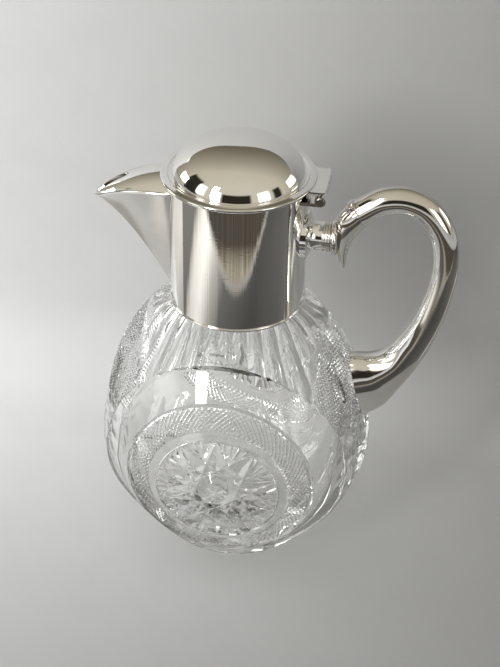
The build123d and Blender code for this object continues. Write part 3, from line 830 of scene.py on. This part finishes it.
# %% Lathe
def softened(corners, radius):
    """A closed outline with rounded corners: each is a short quadratic curve with a flat run to each side."""
    corners = np.asarray(corners, float)
    points = []
    for number, corner in enumerate(corners):
        before, after = corners[number - 1], corners[(number + 1) % len(corners)]
        reach = [min(radius, 0.4 * np.linalg.norm(other - corner)) for other in (before, after)]
        start = corner + (before - corner) / np.linalg.norm(before - corner) * reach[0]
        end = corner + (after - corner) / np.linalg.norm(after - corner) * reach[1]
        points.append(start + (start - corner) * 0.15)
        for share in np.linspace(0, 1, 5):
            points.append((1 - share) ** 2 * start + 2 * share * (1 - share) * corner + share ** 2 * end)
        points.append(end + (end - corner) * 0.15)
    return np.array(points)


def spun(outline, axis, level=0.0, turns=192):
    """Turns an outline of (radius, distance along the axis): rows follow the outline, columns go round."""
    around = full_circle(turns)
    radius, along = outline[:, :1], outline[:, 1:]
    if axis == "Z":
        return upright(radius, around, along)
    return points_of(along, radius * np.cos(around), level + radius * np.sin(around))


silver_pieces = []


def dress(piece, body, solid):
    """The piece rides on a body, takes the silver finish and stands for its solid."""
    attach(piece, body)
    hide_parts(solid)
    silver_pieces.append(piece)
    return piece


def spun_ring(solid, body, corners, radius):
    """A turned ring from a closed outline that doesn't reach the axis."""
    rows = spun(softened(corners, radius), "Z")
    count, turns = rows.shape[:2]
    faces = grid_faces(count + 1, turns, True) % (count * turns)
    return dress(closed_piece("bright_" + solid, rows.reshape(-1, 3), faces), body, solid)


print("points round a softened square:", len(softened([(0, 0), (1, 0), (1, 1), (0, 1)], 0.1)))

# %% [markdown]
# The collar is a plain sleeve between a foot ring and a rim ring. The lid's
# flange lies just clear of the rim and is recessed for the dome, a superellipse
# cap that is cut off just before its side is upright. A window in the sleeve
# lets the wine into the spout, where the spout covers it.

# %% Turned silver
collar_radius, collar_bore, collar_top = 31.5, 30.6, 204.9
foot_ring_bore, foot_ring_radius, foot_ring_top = 28.45, 32.0, shoulder_height + 1.3
rim_ring_radius, rim_ring_top = 32.6, collar_top + 1.4
flange_base = rim_ring_top + 0.3
flange_top, flange_radius, flange_bore = flange_base + 1.7, 35.0, 27.2
dome_radius, dome_base, dome_rise, dome_wall = 30.2, flange_top - 0.5, 15.8, 1.0
dome_start, dome_power, rim_round = math.radians(9.0), 2 / 2.3, 0.05
recess = dome_radius + 1.2
window_half, window_low, window_high, window_start, window_end = 9, 178, 199, -40, -20


def plain_ring(solid, inner, outer, low, high, softness):
    """A ring of the jug with a rectangular section."""
    return spun_ring(solid, "jug", [(inner, low), (outer, low), (outer, high), (inner, high)], softness)


def dome_line(radius, base, rise):
    """From the top down: a superellipse whose height is scaled to end at the base."""
    angle = np.linspace(math.pi / 2, dome_start, 64)[1:]
    across = (np.cos(angle) / math.cos(dome_start)) ** dome_power
    foot = math.sin(dome_start) ** dome_power
    up = (np.sin(angle) ** dome_power - foot) / (1 - foot)
    return np.stack([radius * across, base + rim_round + (rise - rim_round) * up], 1)


sleeve = plain_ring("collar_sleeve", collar_bore, collar_radius, foot_ring_top, collar_top, 0.3)
plain_ring("collar_foot_ring", foot_ring_bore, foot_ring_radius, shoulder_height, foot_ring_top, 0.5)
plain_ring("collar_rim_ring", collar_bore, rim_ring_radius, collar_top, rim_ring_top, 0.55)
spun_ring("lid_flange", "lid",
          [(flange_bore, flange_base), (flange_radius, flange_base), (flange_radius, flange_top - 0.6),
           (flange_radius - 0.5, flange_top - 0.3), (recess + 0.5, flange_top), (recess, dome_base),
           (flange_bore, dome_base)], 0.35)

outside = dome_line(dome_radius, dome_base, dome_rise)
inside = dome_line(dome_radius - dome_wall, dome_base, dome_rise - dome_wall)[::-1]
rim = np.array([[dome_radius - rim_round, dome_base], [dome_radius - dome_wall + rim_round, dome_base]])
dome_poles = [(0, 0, dome_base + dome_rise), (0, 0, dome_base + dome_rise - dome_wall)]
dome = closed_skin("bright_lid_dome", spun(np.concatenate([outside, rim, inside]), "Z"), *dome_poles)
dress(dome, "lid", "lid_dome")

window_y, window_z = np.array([-1, 1, 1, -1]) * window_half, [window_low] * 2 + [window_high] * 2
window_rows = points_of([[window_start], [window_end]], window_y, window_z).astype(float)
window_poles = [(x, 0, (window_low + window_high) / 2) for x in (window_start, window_end)]
window_room = closed_skin("window_room", window_rows, *window_poles)
cut_away(sleeve, [window_room], "DIFFERENCE")
crisp_edges(sleeve, 40)

# %% [markdown]
# The handle is a cast bar. Its path is read from a few sections: where the
# middle is, which way it runs there, and how tall and wide its oval is. Smooth
# curves through those values give as many ovals as the surface needs.

# %% Handle and its heel
# Each section: x and z of the middle, the direction in degrees, the half height and the half width.
scroll = (54.8, 192.9, 43, 6.2, 6.2)
handle_sections = np.array([
    scroll, (65.7, 200.1, 18, 6.15, 6.1), (73.7, 201.4, 0, 6.15, 6.1), (82.3, 198.8, -32, 6.1, 6.1),
    (91.3, 188.3, -65, 5.9, 6.1), (95.1, 172.0, -90, 5.85, 6.2), (93.4, 152.2, -102, 6.2, 6.5),
    (85.2, 126.2, -112, 7.7, 7.2), (78.3, 114.1, -122, 9.2, 8.0), (71.0, 106.3, -138, 12.5, 9.0),
    (65.5, 101.5, -149, 16.0, 9.8), (57.5, 97.0, -155, 18.0, 10.4)])
heel_sections = np.array([
    scroll, (51.2, 188.2, 60, 6.2, 6.0), (48.5, 180.5, 80, 4.6, 5.0), (48.0, 172.0, 91, 2.7, 3.2),
    (48.9, 163.6, 82, 0.9, 1.1)])
bracket_height, knop_room_radius, knop_room_start, knop_end = 179.0, 8.55, 33.0, 46.0
cement, glass_clearance = 1.4, 0.05


def flowing(sections, count):
    """Smooth values between sections: cubics over the path's length, with slopes from the neighbours."""
    length = np.concatenate([[0], np.cumsum(np.hypot(*np.diff(sections[:, :2], axis=0).T))])
    slopes = np.gradient(sections, length, axis=0)
    at = np.linspace(0, length[-1], count)
    k = np.clip(np.searchsorted(length, at, side="right") - 1, 0, len(length) - 2)
    span = (length[k + 1] - length[k])[:, None]
    t = ((at - length[k])[:, None]) / span
    return ((2 * t**3 - 3 * t**2 + 1) * sections[k] + (t**3 - 2 * t**2 + t) * span * slopes[k]
            + (3 * t**2 - 2 * t**3) * sections[k + 1] + (t**3 - t**2) * span * slopes[k + 1])


def oval_bar(name, sections, rows):
    """A bar of ovals that stand across a path in the plane of the handle."""
    x, z, direction, tall, wide = flowing(sections, rows).T[..., None]
    run, around = np.radians(direction), full_circle(72)
    grid = points_of(x - np.sin(run) * tall * np.cos(around), -wide * np.sin(around) + 0 * x,
                     z + np.cos(run) * tall * np.cos(around))
    return closed_skin(name, grid, grid[0].mean(0), grid[-1].mean(0))


def turned_bracket_piece(name, outline, turns=96):
    """A piece turned round the bracket's level axis, from an outline of (radius, x)."""
    poles = [(outline[end][1], 0, bracket_height) for end in (0, -1)]
    return closed_skin(name, spun(outline, "X", bracket_height, turns), *poles)


arm = oval_bar("bright_handle_arm", handle_sections, 220)
blank_grid, height_grid = np.meshgrid(full_circle(180), meridian_heights(0.0, shoulder_height, 1.5))
blank_rows = upright(globe_reach(blank_grid, height_grid) + glass_clearance, blank_grid, height_grid)
glass_room = closed_skin("glass_room", blank_rows, (0, 0, 0), (0, 0, shoulder_height))
cut_away(arm, [glass_room, lug(cement), roundel(1)], "DIFFERENCE")
crisp_edges(arm, 35)
dress(arm, "jug", "handle_arm")
heel = oval_bar("bright_handle_heel", heel_sections, 64)
knop_room_line = np.array([(knop_room_radius, knop_room_start), (knop_room_radius, knop_end)])
cut_away(heel, [turned_bracket_piece("knop_room", knop_room_line)], "DIFFERENCE")
crisp_edges(heel, 35)
dress(heel, "jug", "handle_heel")

# %% [markdown]
# The bracket between the collar and the scroll is turned. Its collet has three
# beads, each the arch of a sine, and the knop is a low parabola in section.

# %% Turned bracket
collet_start, collet_end = 39.0, 42.8
knop_share, bead = np.linspace(-1, 1, 17), np.linspace(0, 3, 61)
knop_line = np.stack([7.2 + 1.3 * (1 - knop_share ** 2), 44.4 + 1.6 * knop_share], 1)
knop_line = np.concatenate([[(6.9, collet_end)], knop_line, [(6.9, knop_end)]])
beads = 7.3 - 0.7 * (1 - np.abs(np.sin(np.pi * bead)) ** 0.7)
bead_line = np.stack([beads, collet_start + 3.8 * bead / 3], 1)
collet_line = np.concatenate([[(6.3, collet_start)], bead_line, [(6.3, collet_end)]])
knop = dress(turned_bracket_piece("bright_handle_knop", knop_line), "jug", "handle_knop")
collet = dress(turned_bracket_piece("bright_handle_collet", collet_line), "jug", "handle_collet")
print("widest bead and knop:", round(collet_line[:, 0].max(), 2), round(knop_line[:, 0].max(), 2))

# %% [markdown]
# Plate that has been polished for years is bright, with soft wipe marks, a few
# finer scratches, and a little warm tarnish left in patches. One group does
# this for all the metals, and each metal sets how much; another does for glass.

# %% Shared finish groups
def node_group(name, inputs, outputs):
    """An empty node group with inputs (name, kind, default) and outputs (name, kind)."""
    group = bpy.data.node_groups.new(name, "ShaderNodeTree")
    for label, kind, value in inputs:
        socket = group.interface.new_socket(name=label, in_out="INPUT", socket_type=kind)
        socket.default_value = value
    for label, kind in outputs:
        group.interface.new_socket(name=label, in_out="OUTPUT", socket_type=kind)
    return group, group.nodes.new("NodeGroupInput").outputs, group.nodes.new("NodeGroupOutput")


number, tint, vector = "NodeSocketFloat", "NodeSocketColor", "NodeSocketVector"


def polish_group():
    """Polished plate: tarnish patches tint it; wipe marks and scratches roughen it and tilt the normal."""
    group, given, out = node_group(
        "polished_plate", [("Bright", tint, (0.9, 0.89, 0.87, 1)), ("Tarnished", tint, (0.74, 0.69, 0.6, 1)),
                           ("Tarnish", number, 0.3), ("Rough", number, 0.03)],
        [("Color", tint), ("Roughness", number), ("Normal", vector)])
    place = object_place(group)
    stain = ranged(group, noise(group, place, 26.0, 5.0), 0.46, 0.72)
    stain = arithmetic(group, "MULTIPLY", stain, given["Tarnish"])
    wipes = ranged(group, noise(group, place, 150.0, 6.0, (1.0, 1.0, 0.25)), 0.35, 0.75, 0.0, 0.05)
    scratches = ranged(group, noise(group, place, 900.0, 2.0, (0.15, 1.0, 0.9)), 0.60, 0.75, 0.0, 0.15)
    relief = arithmetic(group, "ADD", scratches, noise(group, place, 60.0, 1.0))
    fill(group, out, {"Color": mix_colours(group, stain, given["Bright"], given["Tarnished"]),
                      "Roughness": arithmetic(group, "ADD", wipes, given["Rough"]),
                      "Normal": bumped(group, relief, 0.00003, 0.6)})
    return group


def wheel_group():
    """Acid-polished cuts: nearly clear, a faint grey bloom in patches, and shallow waves from the wheel."""
    group, given, out = node_group("wheel_marks", [("Bloom", number, 0.02)],
                                   [("Roughness", number), ("Normal", vector)])
    place = object_place(group)
    bloom = ranged(group, noise(group, place, 90.0, 4.0), 0.5, 0.8)
    fill(group, out, {"Roughness": arithmetic(group, "MULTIPLY", bloom, given["Bloom"]),
                      "Normal": bumped(group, noise(group, place, 130.0, 2.0), 0.00006, 0.5)})
    return group


def use_group(tree, group, shader, values):
    """Puts a group into a material; each of its outputs goes to the shader's input of that name."""
    node = tree.nodes.new("ShaderNodeGroup")
    node.node_tree = group
    fill(tree, node, values)
    for output in node.outputs:
        tree.links.new(output, shader.inputs[output.name.replace("Color", "Base Color")])


polished_plate, wheel_marks = polish_group(), wheel_group()
print("shared groups:", polished_plate.name, wheel_marks.name)

# %% [markdown]
# Clear glass would throw a black shadow here, and light caught between many
# cuts would end up black, so shadow rays and rays that have bounced for long
# go straight on. The mount and the lid's inside differ in wear, the spout is
# darker and duller, and the handle's darker plate is painted shade.

# %% Finishes
longest_path, most_mirrors, shadow_tint = 6.5, 2.5, (0.80, 0.80, 0.79, 1)


def metal_finish(name, bright, tarnished, tarnish, rough):
    """A metal whose colour, roughness and normal come from the shared group."""
    material, tree, shader = new_material(name)
    shader.inputs["Metallic"].default_value = 1.0
    use_group(tree, polished_plate, shader,
              {"Bright": bright, "Tarnished": tarnished, "Tarnish": tarnish, "Rough": rough})
    return material


def crystal_finish():
    """Lead crystal: clear, high index; light that casts its shadow, or is caught inside, goes straight on."""
    material, tree, shader = new_material("cut_glass")
    use_group(tree, wheel_marks, shader, {})
    fill(tree, shader, {"Base Color": (1.0, 1.0, 0.995, 1), "IOR": 1.54, "Transmission Weight": 1.0})
    path = put(tree, "LightPath")
    straight = path["Is Shadow Ray"]
    for depth, most in (("Ray Depth", longest_path), ("Glossy Depth", most_mirrors)):
        caught = arithmetic(tree, "GREATER_THAN", path[depth], most)
        straight = arithmetic(tree, "MAXIMUM", straight, caught)
    shown_or_clear(tree, straight, shader.outputs[0], shadow_tint)
    return material


def plaster_finish():
    """Gritty off-white cement: two scales of noise in its colour and its relief."""
    material, tree, shader = new_material("plaster")
    place = object_place(tree)
    grit, cloud = noise(tree, place, 500.0, 6.0), noise(tree, place, 60.0, 4.0)
    colour = mix_colours(tree, cloud, (0.58, 0.56, 0.52, 1), (0.74, 0.72, 0.67, 1))
    colour = mix_colours(tree, ranged(tree, grit, 0.6, 0.7), colour, (0.5, 0.48, 0.44, 1))
    fill(tree, shader, {"Base Color": colour, "Roughness": ranged(tree, grit, 0.3, 0.7, 0.8, 0.95),
                        "Normal": bumped(tree, grit, 0.0002, 1.0)})
    return material


silver = metal_finish("silver_plate", (0.93, 0.92, 0.90, 1), (0.78, 0.73, 0.64, 1), 0.35, 0.02)
# The handle's darker plate is painted shade.
shaded_handle_silver = metal_finish("shaded_handle_silver", (0.80, 0.785, 0.755, 1), (0.60, 0.56, 0.49, 1), 0.6, 0.05)
inside_silver = metal_finish("silver_inside", (0.84, 0.82, 0.77, 1), (0.60, 0.53, 0.42, 1), 0.8, 0.10)
spout_silver = metal_finish("spout_silver", (0.70, 0.69, 0.665, 1), (0.50, 0.47, 0.42, 1), 0.6, 0.12)
steel = metal_finish("pin_steel", (0.55, 0.54, 0.53, 1), (0.36, 0.33, 0.29, 1), 0.7, 0.12)
crystal, plaster = crystal_finish(), plaster_finish()

node_finishes = {"glass_body": crystal, "collar_plaster": plaster, "handle_plaster": plaster,
                 "hinge_pin": steel, "lid_bezel": inside_silver, "spout_beak": spout_silver}
for name, node in nodes.items():
    for slot in node.material_slots:
        slot.material = node_finishes.get(name, silver)
for piece in (glass, *silver_pieces):
    in_handle = piece in (arm, heel, knop, collet)
    piece.data.materials.clear()
    piece.data.materials.append(crystal if piece == glass else shaded_handle_silver if in_handle else silver)
print("silver pieces turned or swept:", len(silver_pieces))
